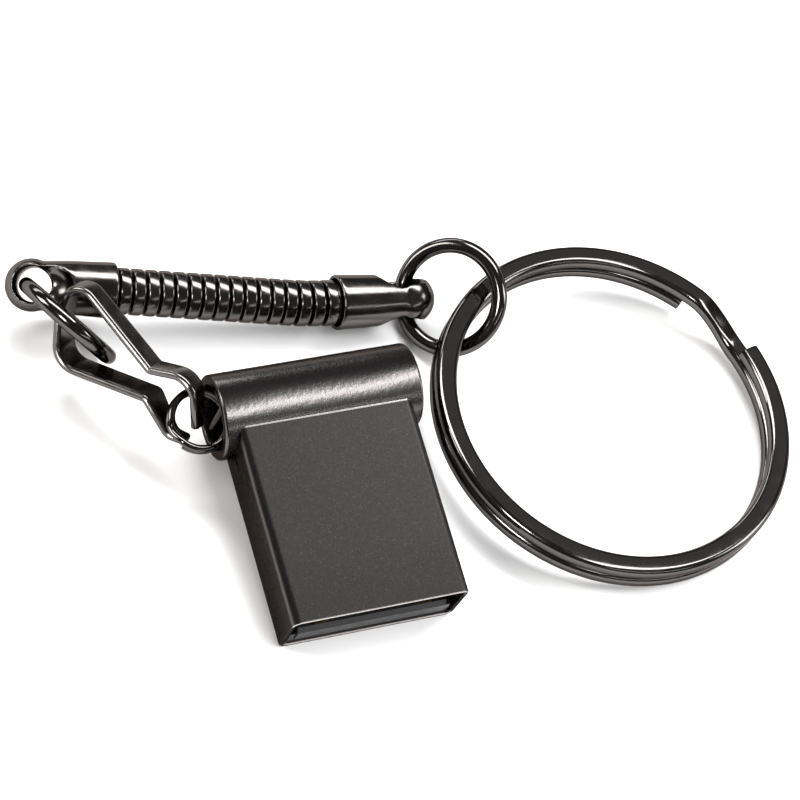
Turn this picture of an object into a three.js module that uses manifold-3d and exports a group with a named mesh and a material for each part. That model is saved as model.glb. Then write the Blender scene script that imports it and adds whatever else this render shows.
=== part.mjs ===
// Mini USB flash drive on a key lanyard: a short metal plug with a round barrel across its end, a small
// split ring through the barrel, a gourd-shaped spring clip, a jump ring, a snake chain between two end
// caps, a second jump ring and a split key ring. Millimetres, +Z up, lying on the plane z = 0.
import * as THREE from 'three';
import { mergeVertices } from 'three/addons/utils/BufferGeometryUtils.js';
import Module from 'manifold-3d';

const wasm = await Module();
wasm.setup();
const RAD = Math.PI / 180;

// ---------------------------------------------------------------- driving dimensions
const PLUG = { width: 12.0, thick: 4.5, wall: 0.3, corner: 0.6, length: 13.6 };
const BARREL = { r: 2.8, length: 13.6, axisY: 15.15, boreR: 2.15, boreDepth: 3.4, edge: 0.14, barR: 0.27 };
const BAR_INSET = 0.5;                  // cross-bar axis, measured inward from the open end
const NECK = { length: 1.9, gap: 0.04 };
const SEAM = { length: 1.1, height: 0.22 };
const TRAY = { mouthY: 0.2, floor: 0.55, rail: 0.35, width: 10.9 };
const MODULE = { thick: 1.35, width: 10.1, rear: 10.3 };
const CONTACT = { width: 1.0, thick: 0.09, pitch: 2.5, innerGap: 2.0, outer: 4.6, inner: 3.9 };
const FIT = 0.03;                       // gap between pieces that are glued or pressed together

const DRIVE_RING = { r: 1.93, wire: 0.5, pitch: 0.53, step: 44, start: 200, out: 0.8, lift: 10 };
const CLIP = { width: 2.2, upperWidth: 1.6, thick: 0.55, tip: 0.9, tipFrom: 0.6, tipTo: 4.4 };
const JUMP = { r: 3.5, wire: 1.06 };
const CAP = {
  r: 1.87, length: 5.25, wall: 0.26, pocket: 1.1, edge: 0.08, taperX: -2.2, ballR: 1.76, ballX: 0.19,
  holeR: 1.1, holeFlare: 1.32, recessR: 1.55, recessX: -0.7, recessZ: 1.97,
};
const LINK = {
  count: 16, r: 1.55, body: 0.779, gap: 0.16, edge: 0.13, boreR: 1.12,
  neckR: 1.0, neckWall: 0.28, neck: 0.5,
};
const KEY = { r: 11.87, radial: 1.45, axial: 1.08, pitch: 1.12, step: 22, start: 28.5 };

// where the pieces lie
const DRIVE_PITCH = 9;                  // the barrel end is propped up by the ring and clip under it
const CLIP_AT = { x: -9.93, y: 17.67, z: 5.15, heading: -56.4, rise: -0.5, roll: 64.1 };
const CHAIN_AT = { x: -15.17, y: 26.84, z: 4.0, heading: -11.75, rise: -4.38, roll: -7.05 };  // left eye
const BENDS = { count: 3, each: 2.77 };  // the chain lies straight but for its last joints
const CAP_ROLL = { left: -38, right: -42 };
const CAP_LEAN = { left: 19, right: 3 };
const LEFT_JUMP_AT = { x: -13.63, y: 24.06, z: 3.56, heading: -53.2, rise: -10.3, roll: 121 };
const KEY_JUMP_AT = { x: 12.5, y: 21.46, z: 3.25, heading: 27.7, rise: 46.9 };
const KEY_AT = { x: 20.98, y: 11.2, z: 2.28, rise: -3.9, roll: 2.9 };

// ---------------------------------------------------------------- materials
const metal = (color, roughness) => new THREE.MeshStandardMaterial({ color, roughness, metalness: 1 });
const satinGrey = () => metal(0x56565a, 0.42);
const blackNickel = () => metal(0x4a4a4d, 0.16);
const gold = () => metal(0xc9a24a, 0.3);
const blackPlastic = () =>
  new THREE.MeshStandardMaterial({ color: 0x17171a, roughness: 0.55, metalness: 0 });

// ---------------------------------------------------------------- solids
const solid = (geometry) => {
  const bare = geometry.clone();
  bare.deleteAttribute('normal');
  bare.deleteAttribute('uv');
  const m = mergeVertices(bare, 1e-5);
  return new wasm.Manifold(new wasm.Mesh({
    numProp: 3,
    vertProperties: Float32Array.from(m.attributes.position.array),
    triVerts: Uint32Array.from(m.index.array),
  }));
};
const geometryOf = (manifold) => {
  const m = manifold.getMesh();
  const g = new THREE.BufferGeometry();
  g.setAttribute('position', new THREE.BufferAttribute(Float32Array.from(m.vertProperties), 3));
  g.setIndex(new THREE.BufferAttribute(Uint32Array.from(m.triVerts), 1));
  g.computeVertexNormals();
  return g;
};
const mesh = (name, geometry, material) => {
  const m = new THREE.Mesh(geometry, material);
  m.name = name;
  return m;
};
const box = (x0, x1, y0, y1, z0, z1) =>
  new THREE.BoxGeometry(x1 - x0, y1 - y0, z1 - z0).translate((x0 + x1) / 2, (y0 + y1) / 2, (z0 + z1) / 2);
const alongX = (points, segments) =>          // turned about X from [x, radius] points, closed on itself
  new THREE.LatheGeometry(points.map(([x, r]) => new THREE.Vector2(r, x)), segments).rotateZ(-Math.PI / 2);
const rodX = (r, x0, x1, segments) => alongX([[x0, 0], [x0, r], [x1, r], [x1, 0]], segments);
const rounded = (w, h, r, n = 5) => {
  const pts = [];
  const x = w / 2 - r, y = h / 2 - r;
  for (const [cx, cy, a] of [[x, y, 0], [-x, y, 90], [-x, -y, 180], [x, -y, 270]]) {
    for (let i = 0; i <= n; i++) {
      const t = (a + (90 * i) / n) * RAD;
      pts.push(new THREE.Vector2(cx + r * Math.cos(t), cy + r * Math.sin(t)));
    }
  }
  return pts;
};
const outline = (points) => new THREE.Shape(points.map(([x, y]) => new THREE.Vector2(x, y)));
const acrossX = new THREE.Matrix4().makeBasis(
  new THREE.Vector3(0, 1, 0), new THREE.Vector3(0, 0, 1), new THREE.Vector3(1, 0, 0));
const prismX = (shape, x0, x1) =>             // a Y-Z outline carried along X
  new THREE.ExtrudeGeometry(shape, { depth: x1 - x0, bevelEnabled: false }).applyMatrix4(acrossX)
    .translate(x0, 0, 0);
const prismY = (shape, y0, y1) =>             // an X-Z outline carried along Y
  new THREE.ExtrudeGeometry(shape, { depth: y1 - y0, bevelEnabled: false }).rotateX(Math.PI / 2)
    .translate(0, y1, 0);

// ---------------------------------------------------------------- drive
const innerW = PLUG.width - 2 * PLUG.wall;
const innerT = PLUG.thick - 2 * PLUG.wall;
const barrelAt = (geometry) => geometry.translate(0, BARREL.axisY, 0);

function plugShell() {
  const tube = new THREE.Shape(rounded(PLUG.width, PLUG.thick, PLUG.corner));
  tube.holes.push(new THREE.Path(rounded(innerW, innerT, PLUG.corner - PLUG.wall + 0.05, 3).reverse()));
  let shell = solid(prismY(tube, 0, PLUG.length + 0.2));
  shell = shell.subtract(solid(barrelAt(rodX(BARREL.r + FIT, -8, 8, 64))));
  const seamY = BARREL.axisY - BARREL.r - SEAM.length;
  const slit = box(-PLUG.width, PLUG.width, seamY, seamY + 3, -SEAM.height / 2, SEAM.height / 2);
  shell = shell.subtract(solid(slit));
  return mesh('plug_shell', geometryOf(shell), satinGrey());
}

function barrelHead() {
  const L = BARREL.length / 2, R = BARREL.r, e = BARREL.edge;
  const round = alongX([[-L, 0], [-L, R - e], [-L + e, R], [L - e, R], [L, R - e], [L, 0]], 64);
  const neckShape = new THREE.Shape(rounded(innerW - 2 * NECK.gap, innerT - 2 * NECK.gap, 0.3, 3));
  const neck = prismY(neckShape, BARREL.axisY - R - NECK.length, BARREL.axisY - 0.4);
  const floor = -L + BARREL.boreDepth, out = -L - 1;
  const bore = alongX([[out, 0], [out, BARREL.boreR], [floor, BARREL.boreR],
    [floor + 0.5, BARREL.boreR - 0.5], [floor + 0.5, 0]], 48);
  const head = solid(barrelAt(round)).add(solid(neck)).subtract(solid(barrelAt(bore)));
  const bar = new THREE.CylinderGeometry(BARREL.barR, BARREL.barR, 2 * (BARREL.boreR + 0.2), 16)
    .rotateX(Math.PI / 2).translate(-L + BAR_INSET, BARREL.axisY, 0);
  return mesh('barrel_head', geometryOf(head.add(solid(bar))), satinGrey());
}

function chipTray() {
  const z0 = -innerT / 2 + FIT, top = z0 + TRAY.floor + MODULE.thick * 0.6;
  const w = TRAY.width / 2;
  const inside = w - TRAY.rail, floor = z0 + TRAY.floor;
  const trough = outline([[-w, z0], [w, z0], [w, top], [inside, top], [inside, floor], [-inside, floor],
    [-inside, top], [-w, top]]);
  return mesh('chip_tray', prismY(trough, TRAY.mouthY, MODULE.rear), blackPlastic());
}
const moduleBottom = -innerT / 2 + 2 * FIT + TRAY.floor;
const moduleTop = moduleBottom + MODULE.thick;
function chipModule() {
  const nose = 0.3, front = TRAY.mouthY - 0.1;
  const side = outline([[front, moduleBottom], [MODULE.rear, moduleBottom], [MODULE.rear, moduleTop],
    [front + nose, moduleTop], [front, moduleTop - nose]]);
  return mesh('chip_module', prismX(side, -MODULE.width / 2, MODULE.width / 2), blackPlastic());
}
function contacts() {
  const outerX = CONTACT.innerGap / 2 + CONTACT.pitch, innerX = CONTACT.innerGap / 2;
  const z0 = moduleTop + 0.02, start = TRAY.mouthY + 0.25, half = CONTACT.width / 2, setBack = 0.7;
  const contact = (name, x, length, back) => {
    const y0 = start + back;
    return mesh(name, box(x - half, x + half, y0, y0 + length, z0, z0 + CONTACT.thick), gold());
  };
  return [
    contact('contact_power', -outerX, CONTACT.outer, 0),
    contact('contact_data_minus', -innerX, CONTACT.inner, setBack),
    contact('contact_data_plus', innerX, CONTACT.inner, setBack),
    contact('contact_ground', outerX, CONTACT.outer, 0),
  ];
}

// ---------------------------------------------------------------- rings
// Wire that runs flat for nearly a turn, steps up by one pitch and runs flat for nearly a turn again.
class SplitRingPath extends THREE.Curve {
  constructor(r, pitch, step, start) {
    super();
    Object.assign(this, { r, pitch, step, start });
  }
  getPoint(t, target = new THREE.Vector3()) {
    const sweep = 720 - this.step - 6;
    const a = sweep * (t - 0.5);
    const k = THREE.MathUtils.smoothstep(a, -this.step / 2, this.step / 2) - 0.5;
    const b = (a + this.start) * RAD;
    return target.set(this.r * Math.cos(b), this.r * Math.sin(b), this.pitch * k);
  }
  computeFrenetFrames(segments) {
    const tangents = [], normals = [], binormals = [];
    for (let i = 0; i <= segments; i++) {
      const p = this.getPointAt(i / segments);
      tangents.push(this.getTangentAt(i / segments));
      normals.push(new THREE.Vector3(p.x, p.y, 0).normalize());
      binormals.push(new THREE.Vector3(0, 0, -1));
    }
    return { tangents, normals, binormals };
  }
}
function splitRing(name, { r, pitch, step, start }, section, steps) {
  const extrudePath = new SplitRingPath(r, pitch, step, start);
  const wire = new THREE.ExtrudeGeometry(section, { steps, extrudePath, bevelEnabled: false });
  return mesh(name, wire, blackNickel());
}
const circle = (d, n) =>
  outline(Array.from({ length: n }, (_, i) => (2 * Math.PI * i) / n)
    .map((a) => [(d / 2) * Math.cos(a), (d / 2) * Math.sin(a)]));
const jumpRing = (name) =>
  mesh(name, new THREE.TorusGeometry(JUMP.r, JUMP.wire / 2, 12, 36), blackNickel());

// ---------------------------------------------------------------- spring clip
// Centre line of the strip: corners [x, y] with their bend radii, from the upper hook's end round the head.
const CLIP_BENDS = [
  [4.05, -0.6, 0], [2.36, 2.36, 1.5], [-0.39, 0.88, 0.35], [-7.95, 2.85, 1.15], [-7.4, -0.2, 2.2],
  [-5.95, -3.15, 1.5], [0.39, -0.84, 0.35], [2.8, -2.2, 0.8], [3.85, -1.85, 0],
];
function bentLine(bends, arcStep = 14 * RAD) {
  const out = [], P = bends.map(([x, y]) => new THREE.Vector2(x, y));
  bends.forEach(([, , r], i) => {
    if (!r) {
      out.push(P[i]);
      return;
    }
    const a = P[i - 1].clone().sub(P[i]).normalize(), b = P[i + 1].clone().sub(P[i]).normalize();
    const half = Math.acos(THREE.MathUtils.clamp(a.dot(b), -1, 1)) / 2;
    const centre = P[i].clone().add(a.clone().add(b).normalize().multiplyScalar(r / Math.sin(half)));
    const p0 = P[i].clone().addScaledVector(a, r / Math.tan(half));
    const p1 = P[i].clone().addScaledVector(b, r / Math.tan(half));
    const a0 = Math.atan2(p0.y - centre.y, p0.x - centre.x);
    let turn = Math.atan2(p1.y - centre.y, p1.x - centre.x) - a0;
    turn = Math.atan2(Math.sin(turn), Math.cos(turn));
    const n = Math.max(2, Math.ceil(Math.abs(turn) / arcStep));
    for (let k = 0; k <= n; k++) {
      const t = a0 + (turn * k) / n;
      out.push(new THREE.Vector2(centre.x + r * Math.cos(t), centre.y + r * Math.sin(t)));
    }
  });
  return out;
}
function springClip() {
  const line = bentLine(CLIP_BENDS), left = [], right = [];
  line.forEach((p, i) => {
    const t = line[Math.min(i + 1, line.length - 1)].clone().sub(line[Math.max(i - 1, 0)]).normalize();
    left.push(new THREE.Vector2(p.x - (t.y * CLIP.thick) / 2, p.y + (t.x * CLIP.thick) / 2));
    right.push(new THREE.Vector2(p.x + (t.y * CLIP.thick) / 2, p.y - (t.x * CLIP.thick) / 2));
  });
  const edge = new THREE.Shape(left.concat(right.reverse()));
  const strip = new THREE.ExtrudeGeometry(edge, { depth: CLIP.width, bevelEnabled: false });
  const half = CLIP.width / 2, tip = CLIP.tip / 2, upper = CLIP.upperWidth / 2;
  const plan = outline([[-12, half], [-12, -half], [CLIP.tipFrom, -half], [CLIP.tipTo, -tip],
    [CLIP.tipTo, tip], [CLIP.tipFrom, half]]);
  const side = outline([[-5, -half], [-1, -half], [1.5, -upper], [5, -upper], [5, upper], [1.5, upper],
    [-1, half], [-5, half]]);
  const tapered = solid(strip.translate(0, 0, -half)).intersect(solid(prismY(plan, -5, 5)))
    .intersect(solid(prismX(side, -12, 6)));
  return mesh('spring_clip', geometryOf(tapered), blackNickel());
}

// ---------------------------------------------------------------- chain
// End cap along X: its eye is centred on the origin with the hole along Z, and its pocket opens at -X.
function endCap(name, lean) {
  const x0 = -CAP.length, pr = CAP.r - CAP.wall, e = CAP.edge;
  const profile = [[x0 + CAP.pocket, 0], [x0 + CAP.pocket, pr], [x0, pr], [x0, CAP.r - e], [x0 + e, CAP.r]];
  profile.push([CAP.taperX, CAP.ballR]);
  for (let a = 112.5; a > 0; a -= 12.5)
    profile.push([CAP.ballX + CAP.ballR * Math.cos(a * RAD), CAP.ballR * Math.sin(a * RAD)]);
  profile.push([CAP.ballX + CAP.ballR, 0]);
  let cap = solid(alongX(profile, 32));
  const hole = [];
  for (let z = -2; z <= 2; z += 0.5)
    hole.push(new THREE.Vector2(CAP.holeR + (CAP.holeFlare - CAP.holeR) * (z / 1.6) ** 2, z));
  hole.unshift(new THREE.Vector2(0, -2));
  hole.push(new THREE.Vector2(0, 2));
  const hourglass = new THREE.LatheGeometry(hole, 28).rotateX(Math.PI / 2).rotateY(lean * RAD);
  cap = cap.subtract(solid(hourglass));
  for (const side of [-1, 1]) {
    const recess = new THREE.SphereGeometry(CAP.recessR, 20, 12);
    cap = cap.subtract(solid(recess.translate(CAP.recessX, 0, side * CAP.recessZ)));
  }
  return mesh(name, geometryOf(cap), blackNickel());
}
// One link along X: a ring from 0 to LINK.body with a socket at its -X end and a hollow neck at its +X end.
function chainLink(i) {
  const { r, body, edge, boreR, neckR, neckWall, neck } = LINK, inner = neckR - neckWall;
  const points = [[0, boreR], [0, r - edge], [edge, r], [body - edge, r], [body, r - edge], [body, neckR],
    [body + neck, neckR], [body + neck, inner], [body - 0.15, inner], [body - 0.2, boreR], [0, boreR]];
  return mesh(`chain_link_${String(i).padStart(2, '0')}`, alongX(points, 16), blackNickel());
}

// ---------------------------------------------------------------- assembly
const place = (object, { x, y, z, heading = 0, rise = 0, roll = 0 }) => {
  object.position.set(x, y, z);
  object.rotation.set(roll * RAD, -rise * RAD, heading * RAD, 'ZYX');
  return object;
};
const lanyard = new THREE.Group();

const drive = new THREE.Group();
const slope = DRIVE_PITCH * RAD;
drive.rotation.x = slope;
drive.position.set(0, -Math.sin(slope), Math.cos(slope)).multiplyScalar(PLUG.thick / 2);
drive.add(plugShell(), barrelHead(), chipTray(), chipModule(), ...contacts());

const driveRing = splitRing('drive_split_ring', DRIVE_RING, circle(DRIVE_RING.wire, 10), 56);
driveRing.position.set(-BARREL.length / 2 - DRIVE_RING.out, BARREL.axisY, 0);
driveRing.rotation.x = DRIVE_RING.lift * RAD;
drive.add(driveRing);
lanyard.add(drive, place(springClip(), CLIP_AT));

const chain = place(new THREE.Group(), CHAIN_AT);
const leftCap = endCap('left_end_cap', CAP_LEAN.left);
leftCap.rotation.set(CAP_ROLL.left * RAD, 0, Math.PI, 'ZYX');
chain.add(leftCap);
const pivot = new THREE.Vector3(CAP.length + LINK.gap / 2, 0, 0);      // where the next link bends
let aim = 0;
for (let i = 1; i <= LINK.count; i++) {
  if (i > LINK.count - BENDS.count) aim += BENDS.each;
  const link = chainLink(i);
  link.rotation.z = aim * RAD;
  const along = new THREE.Vector3(Math.cos(aim * RAD), Math.sin(aim * RAD), 0);
  link.position.copy(pivot).addScaledVector(along, LINK.gap / 2);
  chain.add(link);
  pivot.addScaledVector(along, LINK.body + LINK.gap);
}
const rightCap = endCap('right_end_cap', CAP_LEAN.right);
const reach = CAP.length + LINK.gap / 2;
rightCap.position.set(pivot.x + reach * Math.cos(aim * RAD), pivot.y + reach * Math.sin(aim * RAD), 0);
rightCap.rotation.set(CAP_ROLL.right * RAD, 0, aim * RAD, 'ZYX');
chain.add(rightCap);
lanyard.add(chain, place(jumpRing('left_jump_ring'), LEFT_JUMP_AT));
lanyard.add(place(jumpRing('key_jump_ring'), KEY_JUMP_AT));

const flat = new THREE.Shape(rounded(KEY.radial, KEY.axial, 0.3, 1));
lanyard.add(place(splitRing('split_key_ring', KEY, flat, 96), KEY_AT));

// The origin goes to the middle of the footprint, on the plane the object lies on.
const extent = new THREE.Box3().setFromObject(lanyard, true);
const middle = extent.getCenter(new THREE.Vector3());
lanyard.position.set(-middle.x, -middle.y, -extent.min.z);
lanyard.updateMatrixWorld(true);

export default lanyard;
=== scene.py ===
import math
import bpy
import bmesh
from mathutils import Matrix, Vector


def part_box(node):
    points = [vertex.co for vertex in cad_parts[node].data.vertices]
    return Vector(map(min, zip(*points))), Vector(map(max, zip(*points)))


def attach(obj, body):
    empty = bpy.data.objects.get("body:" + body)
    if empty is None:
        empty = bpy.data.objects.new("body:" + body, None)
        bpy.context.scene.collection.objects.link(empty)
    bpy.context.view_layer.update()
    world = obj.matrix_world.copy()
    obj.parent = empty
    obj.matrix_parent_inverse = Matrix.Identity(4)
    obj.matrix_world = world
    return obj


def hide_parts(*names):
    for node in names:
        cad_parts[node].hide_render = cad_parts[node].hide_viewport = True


# Looks for the mini USB flash drive on its key lanyard. The frame is in metres; shapes are written in
# millimetres and scaled when their mesh is made.
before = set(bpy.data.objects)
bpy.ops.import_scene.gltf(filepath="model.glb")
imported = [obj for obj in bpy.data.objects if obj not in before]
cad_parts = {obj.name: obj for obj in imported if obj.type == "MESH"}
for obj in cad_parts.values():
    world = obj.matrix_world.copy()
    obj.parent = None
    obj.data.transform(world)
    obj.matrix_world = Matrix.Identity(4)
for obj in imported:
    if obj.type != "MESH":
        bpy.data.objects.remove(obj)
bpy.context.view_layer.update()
MM = 0.001

# ---------------------------------------------------------------- dimensions, the same as the frame's
PLUG_W, PLUG_T, WALL, CORNER, PLUG_L = 12.0, 4.5, 0.3, 0.6, 13.6
SHELL_RIM, LIP = 0.13, 0.055
BARREL_R, BARREL_L, BARREL_Y, BARREL_EDGE = 2.8, 13.6, 15.15, 0.2
BORE_R, BORE_DEPTH, BORE_EDGE, BAR_R = 2.15, 3.4, 0.1, 0.27
SEAM_L, SEAM_H = 1.1, 0.22
SOCKET_R = BARREL_R + 0.03
STEP_Y = BARREL_Y - math.sqrt(SOCKET_R ** 2 - (PLUG_T / 2) ** 2)
DRIVE_RING_R, DRIVE_RING_WIRE, DRIVE_RING_PITCH = 1.93, 0.25, 0.53
JUMP_R, JUMP_WIRE = 3.5, 0.53
KEY_RING_R, KEY_RING_W, KEY_RING_T, KEY_RING_EDGE, KEY_RING_PITCH = 11.87, 1.45, 1.08, 0.44, 1.12
PITCH = math.radians(9)


def place(x, y, z, heading=0, rise=0, roll=0):
    h, r, o = (math.radians(a) for a in (heading, rise, roll))
    return (Matrix.Translation((x, y, z)) @ Matrix.Rotation(h, 4, "Z") @ Matrix.Rotation(-r, 4, "Y")
            @ Matrix.Rotation(o, 4, "X"))


low, high = (Vector(v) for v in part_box("plug_shell"))
SHIFT = Matrix.Translation((low.x / MM + PLUG_W / 2, low.y / MM + PLUG_T * math.sin(PITCH), 0))
PLUG_AXIS = (0, -PLUG_T / 2 * math.sin(PITCH), PLUG_T / 2 * math.cos(PITCH))
DRIVE = SHIFT @ Matrix.Translation(PLUG_AXIS) @ Matrix.Rotation(PITCH, 4, "X")
CLIP = SHIFT @ place(-9.93, 17.67, 5.15, -56.4, -0.5, 64.1)
CHAIN = SHIFT @ place(-15.17, 26.84, 4.0, -11.75, -4.38, -7.05)
LEFT_JUMP = SHIFT @ place(-13.63, 24.06, 3.56, -53.2, -10.3, 121)
KEY_JUMP = SHIFT @ place(12.5, 21.46, 3.25, 27.7, 46.9)
KEY = SHIFT @ place(20.98, 11.2, 2.28, 0, -3.9, 2.9)


# ---------------------------------------------------------------- mesh helpers
def new_object(name, verts, faces, matrix):
    mesh = bpy.data.meshes.new(name)
    mesh.from_pydata([(matrix @ Vector(v)) * MM for v in verts], [], faces)
    bm = bmesh.new()
    bm.from_mesh(mesh)
    bmesh.ops.recalc_face_normals(bm, faces=bm.faces)
    bm.to_mesh(mesh)
    bm.free()
    obj = bpy.data.objects.new(name, mesh)
    bpy.context.scene.collection.objects.link(obj)
    return obj


def bake(obj, *modifiers):
    """Applies (type, settings) modifiers by taking the evaluated mesh."""
    for kind, settings in modifiers:
        m = obj.modifiers.new(kind, kind)
        for key, value in settings.items():
            setattr(m, key, value)
    deps = bpy.context.evaluated_depsgraph_get()
    deps.update()
    mesh = bpy.data.meshes.new_from_object(obj.evaluated_get(deps))
    obj.modifiers.clear()
    old, obj.data = obj.data, mesh
    bpy.data.meshes.remove(old)
    mesh.name = obj.name
    return obj


def cut(obj, *cutters):
    """Takes the cutters out of the mesh and deletes them."""
    for cutter in cutters:
        bake(obj, ("BOOLEAN", {"operation": "DIFFERENCE", "solver": "EXACT", "object": cutter}))
        mesh = cutter.data
        bpy.data.objects.remove(cutter)
        bpy.data.meshes.remove(mesh)
    return obj


def soften(obj, width, degrees=40, segments=3):
    """Rounds every edge that is sharper than the angle."""
    return bake(obj, ("BEVEL", {"width": width * MM, "segments": segments, "limit_method": "ANGLE",
                                "angle_limit": math.radians(degrees), "use_clamp_overlap": True,
                                "harden_normals": False, "loop_slide": False}))


def smooth(obj, degrees=35):
    """Shades the mesh smooth, except across edges that are sharper than the angle."""
    mesh = obj.data
    mesh.shade_smooth()
    limit = math.radians(degrees)
    bm = bmesh.new()
    bm.from_mesh(mesh)
    for e in bm.edges:
        e.smooth = len(e.link_faces) == 2 and e.calc_face_angle(0) < limit
    bm.to_mesh(mesh)
    bm.free()
    return obj


def loft(name, rings, matrix, closed=False, cap=True):
    """Skins equal closed rings of points, one after another."""
    n, verts, faces = len(rings[0]), [p for ring in rings for p in ring], []
    spans = len(rings) if closed else len(rings) - 1
    for i in range(spans):
        a, b = i * n, ((i + 1) % len(rings)) * n
        faces += [(a + k, a + (k + 1) % n, b + (k + 1) % n, b + k) for k in range(n)]
    if cap and not closed:
        faces += [tuple(range(n)), tuple(range((len(rings) - 1) * n, len(rings) * n))[::-1]]
    return new_object(name, verts, faces, matrix)


def lathe(name, profile, matrix, segments=96):
    """Turns (x, radius) points about X; points with radius 0 close the ends."""
    verts, faces, rows = [], [], []
    for x, r in profile:
        if r <= 0:
            rows.append([len(verts)])
            verts.append((x, 0, 0))
        else:
            rows.append(list(range(len(verts), len(verts) + segments)))
            turns = [2 * math.pi * k / segments for k in range(segments)]
            verts += [(x, r * math.cos(a), r * math.sin(a)) for a in turns]
    pairs = list(zip(rows, rows[1:]))
    if len(rows[0]) > 1 and len(rows[-1]) > 1:
        pairs.append((rows[-1], rows[0]))
    for a, b in pairs:
        for k in range(segments):
            j = (k + 1) % segments
            if len(a) == 1:
                faces.append((a[0], b[j], b[k]))
            elif len(b) == 1:
                faces.append((a[k], a[j], b[0]))
            else:
                faces.append((a[k], a[j], b[j], b[k]))
    return new_object(name, verts, faces, matrix)


def arc(cx, cy, r, a0, a1, n):
    angles = [math.radians(a0 + (a1 - a0) * i / n) for i in range(n + 1)]
    return [(cx + r * math.cos(a), cy + r * math.sin(a)) for a in angles]


def rounded(w, h, r, n=8):
    """A rectangle's outline with round corners."""
    out = []
    for cx, cy, a in ((w / 2 - r, h / 2 - r, 0), (r - w / 2, h / 2 - r, 90), (r - w / 2, r - h / 2, 180),
                      (w / 2 - r, r - h / 2, 270)):
        out += arc(cx, cy, r, a, a + 90, n)
    return out


def box(name, lo, hi, matrix):
    x, y, z = zip(lo, hi)
    verts = [(x[i], y[j], z[k]) for i in (0, 1) for j in (0, 1) for k in (0, 1)]
    faces = [(0, 1, 3, 2), (4, 6, 7, 5), (0, 4, 5, 1), (2, 3, 7, 6), (0, 2, 6, 4), (1, 5, 7, 3)]
    return new_object(name, verts, faces, matrix)


# ---------------------------------------------------------------- materials
def node(tree, kind, **values):
    n = tree.nodes.new(kind)
    for key, value in values.items():
        if key in n.inputs:
            n.inputs[key].default_value = value
        else:
            setattr(n, key, value)
    return n


def material(name, color, roughness, metallic=1.0):
    m = bpy.data.materials.new(name)
    m.use_nodes = True
    shader = m.node_tree.nodes["Principled BSDF"]
    shader.inputs["Base Color"].default_value = (*color, 1)
    shader.inputs["Metallic"].default_value = metallic
    shader.inputs["Roughness"].default_value = roughness
    return m, m.node_tree, shader


def mapped(tree, shader, socket, source, lo, hi, from_lo=0.0, from_hi=1.0):
    """Drives a shader socket by a texture, from lo to hi."""
    r = node(tree, "ShaderNodeMapRange")
    for key, value in (("From Min", from_lo), ("From Max", from_hi), ("To Min", lo), ("To Max", hi)):
        r.inputs[key].default_value = value
    tree.links.new(source, r.inputs["Value"])
    tree.links.new(r.outputs["Result"], shader.inputs[socket])


def bump(tree, shader, source, strength, distance):
    b = node(tree, "ShaderNodeBump")
    b.inputs["Strength"].default_value = strength
    b.inputs["Distance"].default_value = distance
    tree.links.new(source, b.inputs["Height"])
    tree.links.new(b.outputs["Normal"], shader.inputs["Normal"])


def satin_grey(name, color, rough, peel, sparkle):
    """Fine-grained satin plating: tiny random grains with a few brighter ones, over a faint orange peel."""
    m, t, s = material(name, color, rough[0])
    s.inputs["Specular Tint"].default_value = (0.3, 0.29, 0.28, 1)
    where = node(t, "ShaderNodeTexCoord")
    grain = node(t, "ShaderNodeTexVoronoi")
    grain.inputs["Scale"].default_value = 16000
    t.links.new(where.outputs["Object"], grain.inputs["Vector"])
    grains = node(t, "ShaderNodeSeparateColor")
    t.links.new(grain.outputs["Color"], grains.inputs["Color"])
    mapped(t, s, "Roughness", grains.outputs["Red"], *rough)
    tint = node(t, "ShaderNodeValToRGB")
    stops = tint.color_ramp.elements
    stops[0].position, stops[0].color = 0.0, (*(0.86 * c for c in color), 1)
    stops[1].position, stops[1].color = 1.0, (*(sparkle * c for c in color), 1)
    plain = stops.new(0.95)
    plain.color = (*(1.1 * c for c in color), 1)
    t.links.new(grains.outputs["Green"], tint.inputs["Fac"])
    t.links.new(tint.outputs["Color"], s.inputs["Base Color"])
    waves = node(t, "ShaderNodeTexNoise")
    waves.inputs["Scale"].default_value = 3200
    waves.inputs["Detail"].default_value = 3
    t.links.new(where.outputs["Object"], waves.inputs["Vector"])
    bump(t, s, waves.outputs["Fac"], peel, 0.00004)
    return m


def black_nickel(name, color, rough, peel):
    """Bright black plating with soft clouds in its gloss and a faint ripple left by polishing."""
    m, t, s = material(name, color, rough[0])
    s.inputs["Specular Tint"].default_value = (0.45, 0.43, 0.42, 1)
    where = node(t, "ShaderNodeTexCoord")
    cloud = node(t, "ShaderNodeTexNoise")
    cloud.inputs["Scale"].default_value = 900
    cloud.inputs["Detail"].default_value = 5
    t.links.new(where.outputs["Object"], cloud.inputs["Vector"])
    mapped(t, s, "Roughness", cloud.outputs["Fac"], rough[0], rough[1], 0.35, 0.7)
    ripple = node(t, "ShaderNodeTexNoise")
    ripple.inputs["Scale"].default_value = 2600
    ripple.inputs["Detail"].default_value = 3
    t.links.new(where.outputs["Object"], ripple.inputs["Vector"])
    bump(t, s, ripple.outputs["Fac"], peel, 0.00004)
    return m


def gold_plate():
    m, t, s = material("gold_look", (0.78, 0.5, 0.16), 0.24)
    where = node(t, "ShaderNodeTexCoord")
    cloud = node(t, "ShaderNodeTexNoise")
    cloud.inputs["Scale"].default_value = 1500
    t.links.new(where.outputs["Object"], cloud.inputs["Vector"])
    mapped(t, s, "Roughness", cloud.outputs["Fac"], 0.18, 0.34)
    return m


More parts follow.
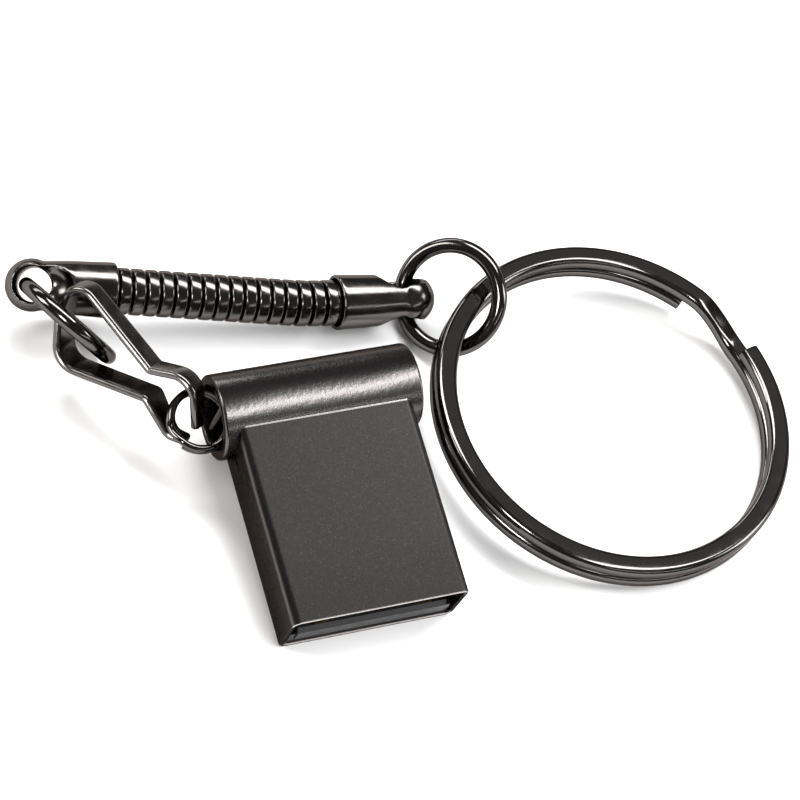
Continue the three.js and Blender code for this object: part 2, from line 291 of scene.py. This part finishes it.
def black_plastic():
    m, t, s = material("black_plastic_look", (0.012, 0.012, 0.014), 0.5, 0.0)
    where = node(t, "ShaderNodeTexCoord")
    grain = node(t, "ShaderNodeTexNoise")
    grain.inputs["Scale"].default_value = 5000
    t.links.new(where.outputs["Object"], grain.inputs["Vector"])
    mapped(t, s, "Roughness", grain.outputs["Fac"], 0.42, 0.6)
    bump(t, s, grain.outputs["Fac"], 0.08, 0.00003)
    return m


SATIN = satin_grey("satin_grey_look", (0.062, 0.058, 0.057), (0.30, 0.38), 0.02, 1.6)
BARREL_SATIN = satin_grey("satin_grey_round_look", (0.085, 0.08, 0.079), (0.25, 0.29), 0.3, 1.25)
# EDGE is a much brighter metal put on the shell's rim and lip faces, a painted highlight line.
EDGE = satin_grey("painted_highlight_edge_look", (0.45, 0.43, 0.42), (0.24, 0.32), 0.02, 1.2)
NICKEL = black_nickel("black_nickel_look", (0.078, 0.073, 0.071), (0.15, 0.24), 0.05)
WIRE = black_nickel("black_nickel_wire_look", (0.074, 0.07, 0.068), (0.08, 0.16), 0.03)
STRIP = black_nickel("black_nickel_strip_look", (0.09, 0.085, 0.082), (0.17, 0.28), 0.06)
GOLD, PLASTIC = gold_plate(), black_plastic()


def finish(obj, body, slot_name, look, *nodes):
    """Gives a piece its material and the body it rides, and hides the nodes it replaces."""
    obj.data.materials.clear()
    obj.data.materials.append(look)
    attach(obj, body)
    if nodes:
        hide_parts(*nodes)
    return obj


# ---------------------------------------------------------------- drive
def paint_edge_highlight(body):
    """The mouth's rim and the edge where the plate stops before the barrel get a painted highlight: a much
    brighter metal on those faces.
    """
    body.data.materials.append(EDGE)
    to_drive = DRIVE.inverted()
    for face in body.data.polygons:
        at = to_drive @ (face.center / MM)
        lean = (to_drive.to_3x3() @ face.normal).normalized()
        rim = at.y < 0.05 and 0.25 < -lean.y < 0.93 and abs(at.z) > 1.5
        lip = at.z > PLUG_T / 2 - LIP and at.y > STEP_Y - 2 * LIP and lean.z > 0.3
        face.material_index = 1 if rim or lip else 0


def shell():
    e = SHELL_RIM
    iw, it, ir = PLUG_W - 2 * WALL, PLUG_T - 2 * WALL, CORNER - WALL + 0.05
    rim = [(e, 0), (e * 0.62, e * 0.076), (e * 0.3, e * 0.3), (e * 0.076, e * 0.62), (0, e)]
    stations = [(0, y) for y in (4.5, 9.0, PLUG_L + 0.2)]
    outer = [[(x, y, z) for x, z in rounded(PLUG_W - 2 * d, PLUG_T - 2 * d, CORNER - d, 10)]
             for d, y in rim + stations]
    inner = [[(x, y, z) for x, z in rounded(iw + 2 * d, it + 2 * d, ir + d, 10)]
             for d, y in rim + stations]
    body = loft("plug_shell_look", inner[::-1] + outer, DRIVE, closed=True)
    tube = lathe("cut_barrel", [(-8, 0), (-8, SOCKET_R), (8, SOCKET_R), (8, 0)],
                 DRIVE @ Matrix.Translation((0, BARREL_Y, 0)), 160)
    seam_y = BARREL_Y - BARREL_R - SEAM_L
    slit = box("cut_slit", (-PLUG_W, seam_y, -SEAM_H / 2), (PLUG_W, seam_y + 3, SEAM_H / 2), DRIVE)
    cut(body, tube, slit)
    soften(body, LIP, 50)
    bm = bmesh.new()
    bm.from_mesh(body.data)
    # Splits the faces where the painted highlight along the plate's lip ends.
    bmesh.ops.bisect_plane(bm, geom=[*bm.verts, *bm.edges, *bm.faces],
                           plane_co=(DRIVE @ Vector((0, STEP_Y - 2 * LIP, 0))) * MM,
                           plane_no=DRIVE.to_3x3() @ Vector((0, 1, 0)))
    bm.to_mesh(body.data)
    bm.free()
    finish(smooth(body), "drive", "satin_grey", SATIN, "plug_shell")
    # Paints a highlight line onto the rim and lip faces with the brighter EDGE metal.
    paint_edge_highlight(body)
    return body


def barrel():
    half, e, b = BARREL_L / 2, BARREL_EDGE, BORE_EDGE
    floor_x, quarter = -half + BORE_DEPTH, (0, 0.26, 0.52, 0.79, 1.05, 1.31, math.pi / 2)
    profile = [(floor_x + 0.55, 0), (floor_x + 0.5, BORE_R - 0.5), (floor_x, BORE_R), (-half + b, BORE_R)]
    profile += [(-half + b - b * math.sin(a), BORE_R + b - b * math.cos(a))
                for a in (0.4, 0.8, 1.2, math.pi / 2)]
    profile += [(-half + e - e * math.cos(a), BARREL_R - e + e * math.sin(a)) for a in quarter]
    profile += [(half * k / 4, BARREL_R) for k in (-2, 0, 2)]
    profile += [(half - e + e * math.sin(a), BARREL_R - e + e * math.cos(a)) for a in quarter] + [(half, 0)]
    at = DRIVE @ Matrix.Translation((0, BARREL_Y, 0))
    head = smooth(lathe("barrel_look", profile, at, 160), 40)
    reach = BORE_R + 0.05
    bar = lathe("barrel_bar_look", [(-reach, 0), (-reach, BAR_R), (reach, BAR_R), (reach, 0)],
                at @ Matrix.Translation((-half + 0.5, 0, 0)) @ Matrix.Rotation(math.pi / 2, 4, "Y"), 32)
    neck = loft("barrel_neck_look", [[(x, y, z) for x, z in rounded(11.3, 3.8, 0.3, 5)]
                                     for y in (BARREL_Y - BARREL_R - 1.9, BARREL_Y - 1.5)], DRIVE)
    finish(smooth(bar), "drive", "satin_grey", NICKEL)
    finish(smooth(neck), "drive", "satin_grey", SATIN)
    return finish(head, "drive", "satin_grey", BARREL_SATIN, "barrel_head")


def inner_parts():
    looks = {"chip_tray": PLASTIC, "chip_module": PLASTIC, "contact_power": GOLD, "contact_data_minus": GOLD,
             "contact_data_plus": GOLD, "contact_ground": GOLD}
    for name, look in looks.items():
        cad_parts[name].data.materials.clear()
        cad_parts[name].data.materials.append(look)


# ---------------------------------------------------------------- rings
END_SHRINK, END_BEVEL = 0.86, 0.35


def coil(name, r, pitch, step, start, section, matrix, steps):
    """Wire lying flat for nearly a turn, stepping up one pitch, then flat again; section is (radial, axial)."""
    sweep, rings = 720 - step - 6, []

    def station(degrees, z, grow=1.0):
        b = math.radians(degrees)
        rings.append([((r + grow * p) * math.cos(b), (r + grow * p) * math.sin(b), z + grow * q)
                      for p, q in section])

    for i in range(steps + 1):
        a = sweep * (i / steps - 0.5)
        k = min(max((a + step / 2) / step, 0), 1)
        z = pitch * (k * k * (3 - 2 * k) - 0.5)
        station(a + start, z, 1 if 0 < i < steps else END_SHRINK)
        if i in (0, steps - 1):
            station(a + start + (END_BEVEL if i == 0 else sweep / steps - END_BEVEL), z)
    return smooth(loft(name, rings, matrix), 50)


def ring_in_barrel():
    tilt = Matrix.Rotation(math.radians(10), 4, "X")
    at = DRIVE @ Matrix.Translation((-BARREL_L / 2 - 0.8, BARREL_Y, 0)) @ tilt
    wire = arc(0, 0, DRIVE_RING_WIRE, 0, 360, 20)[:-1]
    ring = coil("drive_split_ring_look", DRIVE_RING_R, DRIVE_RING_PITCH, 44, 200, wire, at, 240)
    return finish(ring, "drive_ring", "black_nickel", WIRE, "drive_split_ring")


def jump(name, node_name, body, matrix):
    around, section = 160, 32
    rings = []
    for i in range(around):
        a = 2 * math.pi * i / around
        turns = [2 * math.pi * k / section for k in range(section)]
        out = [(JUMP_R + JUMP_WIRE * math.cos(b), JUMP_WIRE * math.sin(b)) for b in turns]
        rings.append([(reach * math.cos(a), reach * math.sin(a), z) for reach, z in out])
    return finish(smooth(loft(name, rings, matrix, closed=True)), body, "black_nickel", WIRE, node_name)


def key_ring():
    wire = rounded(KEY_RING_W, KEY_RING_T, KEY_RING_EDGE, 8)
    ring = coil("split_key_ring_look", KEY_RING_R, KEY_RING_PITCH, 22, 28.5, wire, KEY, 520)
    return finish(ring, "key_ring", "black_nickel", WIRE, "split_key_ring")


# ---------------------------------------------------------------- spring clip
# The strip's middle line as corners, each with the radius it is bent to.
CLIP_BENDS = [(4.05, -0.6, 0), (2.36, 2.36, 1.5), (-0.39, 0.88, 0.35), (-7.95, 2.85, 1.15), (-7.4, -0.2, 2.2),
              (-5.95, -3.15, 1.5), (0.39, -0.84, 0.35), (2.8, -2.2, 0.8), (3.85, -1.85, 0)]
STRIP_W, STRIP_TOP_W, STRIP_TIP_W, STRIP_T, STRIP_EDGE = 2.2, 1.6, 0.9, 0.55, 0.26


def bent_line(bends, step=4):
    """Rounds a line's corners, with a point every few degrees."""
    out, pts = [], [Vector(b[:2]) for b in bends]
    for i, (_, _, r) in enumerate(bends):
        if not r:
            out.append(pts[i])
            continue
        a, b = (pts[i - 1] - pts[i]).normalized(), (pts[i + 1] - pts[i]).normalized()
        half = math.acos(max(-1, min(1, a.dot(b)))) / 2
        centre = pts[i] + (a + b).normalized() * (r / math.sin(half))
        p0, p1 = pts[i] + a * (r / math.tan(half)), pts[i] + b * (r / math.tan(half))
        a0 = math.atan2(*(p0 - centre).yx)
        turn = (math.atan2(*(p1 - centre).yx) - a0 + math.pi) % (2 * math.pi) - math.pi
        n = max(3, math.ceil(abs(math.degrees(turn)) / step))
        angles = [a0 + turn * k / n for k in range(n + 1)]
        out += [centre + Vector((math.cos(a), math.sin(a))) * r for a in angles]
    return out


def ramp(x, x0, x1, y0, y1):
    return y0 + (y1 - y0) * min(max((x - x0) / (x1 - x0), 0), 1)


def spring_clip():
    line, rings = bent_line(CLIP_BENDS), []
    last, bevel = len(line) - 1, 0.06
    for i, p in enumerate(line):
        t = (line[min(i + 1, last)] - line[max(i - 1, 0)]).normalized()
        side = Vector((-t.y, t.x))
        width = min(ramp(p.x, 0.6, 4.4, STRIP_W, STRIP_TIP_W), ramp(p.y, -1, 1.5, STRIP_W, STRIP_TOP_W))
        section = rounded(width, STRIP_T, STRIP_EDGE, 8)
        if i == last:
            rings.append([(*(p - t * bevel + side * q), w) for w, q in section])
        thin, narrow = (0.8, 0.92) if i in (0, last) else (1, 1)
        rings.append([(*(p + side * (q * thin)), w * narrow) for w, q in section])
        if i == 0:
            rings.append([(*(p + t * bevel + side * q), w) for w, q in section])
    strip = smooth(loft("spring_clip_look", rings, CLIP), 50)
    return finish(strip, "clip", "black_nickel", STRIP, "spring_clip")


# ---------------------------------------------------------------- chain
CAP_R, CAP_L, CAP_WALL, POCKET, BALL_R, BALL_X = 1.87, 5.25, 0.26, 1.1, 1.76, 0.19
HOLE_R, FLARE_R, RECESS_R, RECESS_X, RECESS_Z = 1.1, 1.32, 1.55, -0.7, 1.97
LEFT_ROLL, LEFT_LEAN, RIGHT_ROLL, RIGHT_LEAN = -38, 19, -42, 3
LINKS, LINK_R, LINK_BODY, LINK_EDGE, LINK_BORE, GAP = 16, 1.55, 0.779, 0.13, 1.12, 0.16
NECK_R, NECK_BORE, NECK_L, SLEEVE_R = 1.0, 0.72, 0.5, 1.42
BENT, BEND = 3, 2.77


def end_cap(name, node_name, body, matrix, lean):
    """A turned cap with a ball end, holed for the ring and hollowed on both sides, then melted smooth."""
    x0, e = -CAP_L, 0.1
    profile = [(x0 + POCKET, 0), (x0 + POCKET, CAP_R - CAP_WALL), (x0 + 0.04, CAP_R - CAP_WALL),
               (x0, CAP_R - CAP_WALL + 0.04)]
    profile += [(x0 + e - e * math.cos(a), CAP_R - e + e * math.sin(a))
                for a in (0, 0.4, 0.8, 1.2, math.pi / 2)]
    profile += [(x0 + 0.9, CAP_R - 0.03), (x0 + 2.0, CAP_R - 0.07), (-2.2, BALL_R), (-1.5, BALL_R - 0.05),
                (-0.9, BALL_R - 0.1)]
    profile += [(BALL_X + BALL_R * math.cos(math.radians(a)), BALL_R * math.sin(math.radians(a)))
                for a in range(112, 0, -4)] + [(BALL_X + BALL_R, 0)]
    cap = lathe(name, profile, matrix, 96)
    hole = [(z / 10, HOLE_R + (FLARE_R - HOLE_R) * (z / 16) ** 2) for z in range(-22, 23, 2)]
    hole = [(-2.2, 0), *hole, (2.2, 0)]
    cutters = [lathe("cut_hole", hole, matrix @ Matrix.Rotation(math.radians(lean), 4, "Y")
                     @ Matrix.Rotation(-math.pi / 2, 4, "Y"), 64)]
    for side in (-1, 1):
        ball = arc(0, 0, RECESS_R, 180, 0, 30)
        ball[0], ball[-1] = (-RECESS_R, 0), (RECESS_R, 0)
        at = matrix @ Matrix.Translation((RECESS_X, 0, side * RECESS_Z))
        cutters.append(lathe("cut_recess", ball, at, 60))
    cut(cap, *cutters)
    bake(cap, ("REMESH", {"mode": "VOXEL", "voxel_size": 0.06 * MM, "adaptivity": 0}),
         ("SMOOTH", {"factor": 0.5, "iterations": 22}))
    return finish(smooth(cap, 75), body, "black_nickel", NICKEL, node_name)


def link_profile(neck_r):
    """A link's half section: bored ring with rounded edges, and the neck that stands in the next link."""
    e, quarter = LINK_EDGE, (0, 0.39, 0.79, 1.18, math.pi / 2)
    profile = [(0, LINK_BORE)] + [(e - e * math.cos(a), LINK_R - e + e * math.sin(a)) for a in quarter]
    profile += [(LINK_BODY - e + e * math.sin(a), LINK_R - e + e * math.cos(a)) for a in quarter]
    profile += [(LINK_BODY, neck_r), (LINK_BODY + NECK_L, neck_r), (LINK_BODY + NECK_L, NECK_BORE)]
    return profile + [(LINK_BODY - 0.15, NECK_BORE), (LINK_BODY - 0.2, LINK_BORE)]


def chain():
    """The caps and links in a row, straight at first and bending over the last few gaps."""
    turned = Matrix.Rotation(math.pi, 4, "Z") @ Matrix.Rotation(math.radians(LEFT_ROLL), 4, "X")
    end_cap("left_end_cap_look", "left_end_cap", "left_cap", CHAIN @ turned, LEFT_LEAN)
    at, aim = Vector((CAP_L + GAP / 2, 0, 0)), 0.0
    for i in range(1, LINKS + 1):
        if i > LINKS - BENT:
            aim += math.radians(BEND)
        ahead, turn = Vector((math.cos(aim), math.sin(aim), 0)), Matrix.Rotation(aim, 4, "Z")
        profile = link_profile(NECK_R if i < LINKS else SLEEVE_R)
        start = CHAIN @ Matrix.Translation(at + ahead * (GAP / 2)) @ turn
        link = lathe(f"chain_link_{i:02d}_look", profile, start, 72)
        finish(smooth(link), f"link_{i:02d}", "black_nickel", NICKEL, f"chain_link_{i:02d}")
        at += ahead * (LINK_BODY + GAP)
    eye_at = Matrix.Translation(at + ahead * (CAP_L + GAP / 2))
    rolled = turn @ Matrix.Rotation(math.radians(RIGHT_ROLL), 4, "X")
    end_cap("right_end_cap_look", "right_end_cap", "right_cap", CHAIN @ eye_at @ rolled, RIGHT_LEAN)


shell()
barrel()
inner_parts()
ring_in_barrel()
spring_clip()
jump("left_jump_ring_look", "left_jump_ring", "left_jump", LEFT_JUMP)
jump("key_jump_ring_look", "key_jump_ring", "key_jump", KEY_JUMP)
chain()
key_ring()

# ---------------------------------------------------------------- floor, light and camera
FLOOR = 900
floor = new_object("floor", [(-FLOOR, -FLOOR, 0), (FLOOR, -FLOOR, 0), (FLOOR, FLOOR, 0), (-FLOOR, FLOOR, 0)],
                   [(0, 1, 2, 3)], Matrix.Identity(4))
paper, paper_tree, paper_shader = material("floor_paper", (0.88, 0.88, 0.88), 0.9, 0.0)
grain = node(paper_tree, "ShaderNodeTexNoise")
grain.inputs["Scale"].default_value = 40
mapped(paper_tree, paper_shader, "Roughness", grain.outputs["Fac"], 0.85, 0.95)
floor.data.materials.append(paper)


def light(name, toward, distance, across, along, radiance, tone=(1, 1, 1), only=()):
    """A softbox facing the object from a direction. Pieces in only are the ones it is flagged to reach."""
    data = bpy.data.lights.new(name, "AREA")
    data.shape, data.size, data.size_y, data.color = "RECTANGLE", across, along, tone
    data.energy = radiance * math.pi * across * along
    obj = bpy.data.objects.new(name, data)
    way = Vector(toward).normalized()
    obj.location = way * distance
    obj.rotation_euler = (-way).to_track_quat("-Z", "Y").to_euler()
    bpy.context.scene.collection.objects.link(obj)
    if only:
        reach = bpy.data.collections.new(name + "_reach")
        for piece in only:
            reach.objects.link(piece)
        obj.light_linking.receiver_collection = reach


shown = [o for o in bpy.data.objects if o.type == "MESH" and o.name.endswith("_look")]
barrel_pieces = [o for o in shown if o.name.startswith("barrel")]
plug_pieces = [o for o in shown if o.name.startswith("plug")]
ring_pieces = [o for o in shown if o.name.startswith("split_key_ring")]
lanyard_pieces = [o for o in shown if o not in (*barrel_pieces, *plug_pieces, *ring_pieces)]
clip_pieces = [o for o in shown if o.name.startswith("spring_clip")]
bright_pieces = [*ring_pieces, *lanyard_pieces]
light("barrel_strip", (0.35, -0.22, 0.91), 0.6, 0.62, 0.08, 24, only=[*barrel_pieces, floor])
light("plate_softbox", (0.35, 0.17, 0.92), 0.6, 0.60, 0.60, 0.9, only=plug_pieces)
light("plate_back_strip", (0.35, 0.60, 0.72), 0.6, 0.60, 0.10, 16, only=plug_pieces)
light("plate_front_strip", (0.35, -0.80, 0.48), 0.6, 0.60, 0.20, 16, only=plug_pieces)
light("ring_left_strip", (-0.30, 0.45, 0.84), 0.6, 0.26, 0.40, 20, only=ring_pieces)
light("ring_top_softbox", (0.46, 0.37, 0.81), 0.6, 0.50, 0.50, 0.3, only=ring_pieces)
light("ring_front_strip", (0.35, -0.26, 0.90), 0.6, 0.62, 0.10, 18, only=ring_pieces)
light("back_softbox", (0.30, 0.40, 0.86), 0.6, 0.60, 0.22, 17, only=[*lanyard_pieces, floor])
light("near_softbox", (-0.52, -0.42, 0.74), 0.6, 0.14, 0.14, 44, only=bright_pieces)
light("clip_softbox", (-0.79, -0.46, 0.41), 0.6, 0.20, 0.20, 42, only=clip_pieces)
light("left_softbox", (-0.80, 0.35, 0.50), 0.6, 0.20, 0.30, 14, (1.0, 0.98, 0.95),
      only=[*bright_pieces, *barrel_pieces, floor])
light("right_softbox", (0.86, -0.30, 0.42), 0.6, 0.16, 0.30, 12)
light("far_softbox", (-0.10, 0.93, 0.36), 0.7, 0.50, 0.10, 10)
light("front_strip", (0.30, -0.82, 0.45), 0.6, 0.40, 0.03, 8)

world = bpy.data.worlds.new("studio")
world.use_nodes = True
world.node_tree.nodes["Background"].inputs["Color"].default_value = (1, 1, 1, 1)
world.node_tree.nodes["Background"].inputs["Strength"].default_value = 0.16
bpy.context.scene.world = world
bpy.context.scene.view_settings.view_transform = "Standard"

camera_data = bpy.data.cameras.new("camera")
camera_data.lens, camera_data.sensor_width, camera_data.clip_start, camera_data.clip_end = 144, 36, 0.01, 10
camera = bpy.data.objects.new("camera", camera_data)
back = Vector((-0.3481, -0.4485, 0.8232)).normalized()
right = Vector((0.9241, -0.312, 0.2209))
right = (right - back * right.dot(back)).normalized()
up = back.cross(right)
eye = (SHIFT @ Vector((-66.71, -79.94, 176.29))) * MM
camera.matrix_world = Matrix((right, up, back)).transposed().to_4x4()
camera.location = eye
bpy.context.scene.collection.objects.link(camera)
bpy.context.scene.camera = camera
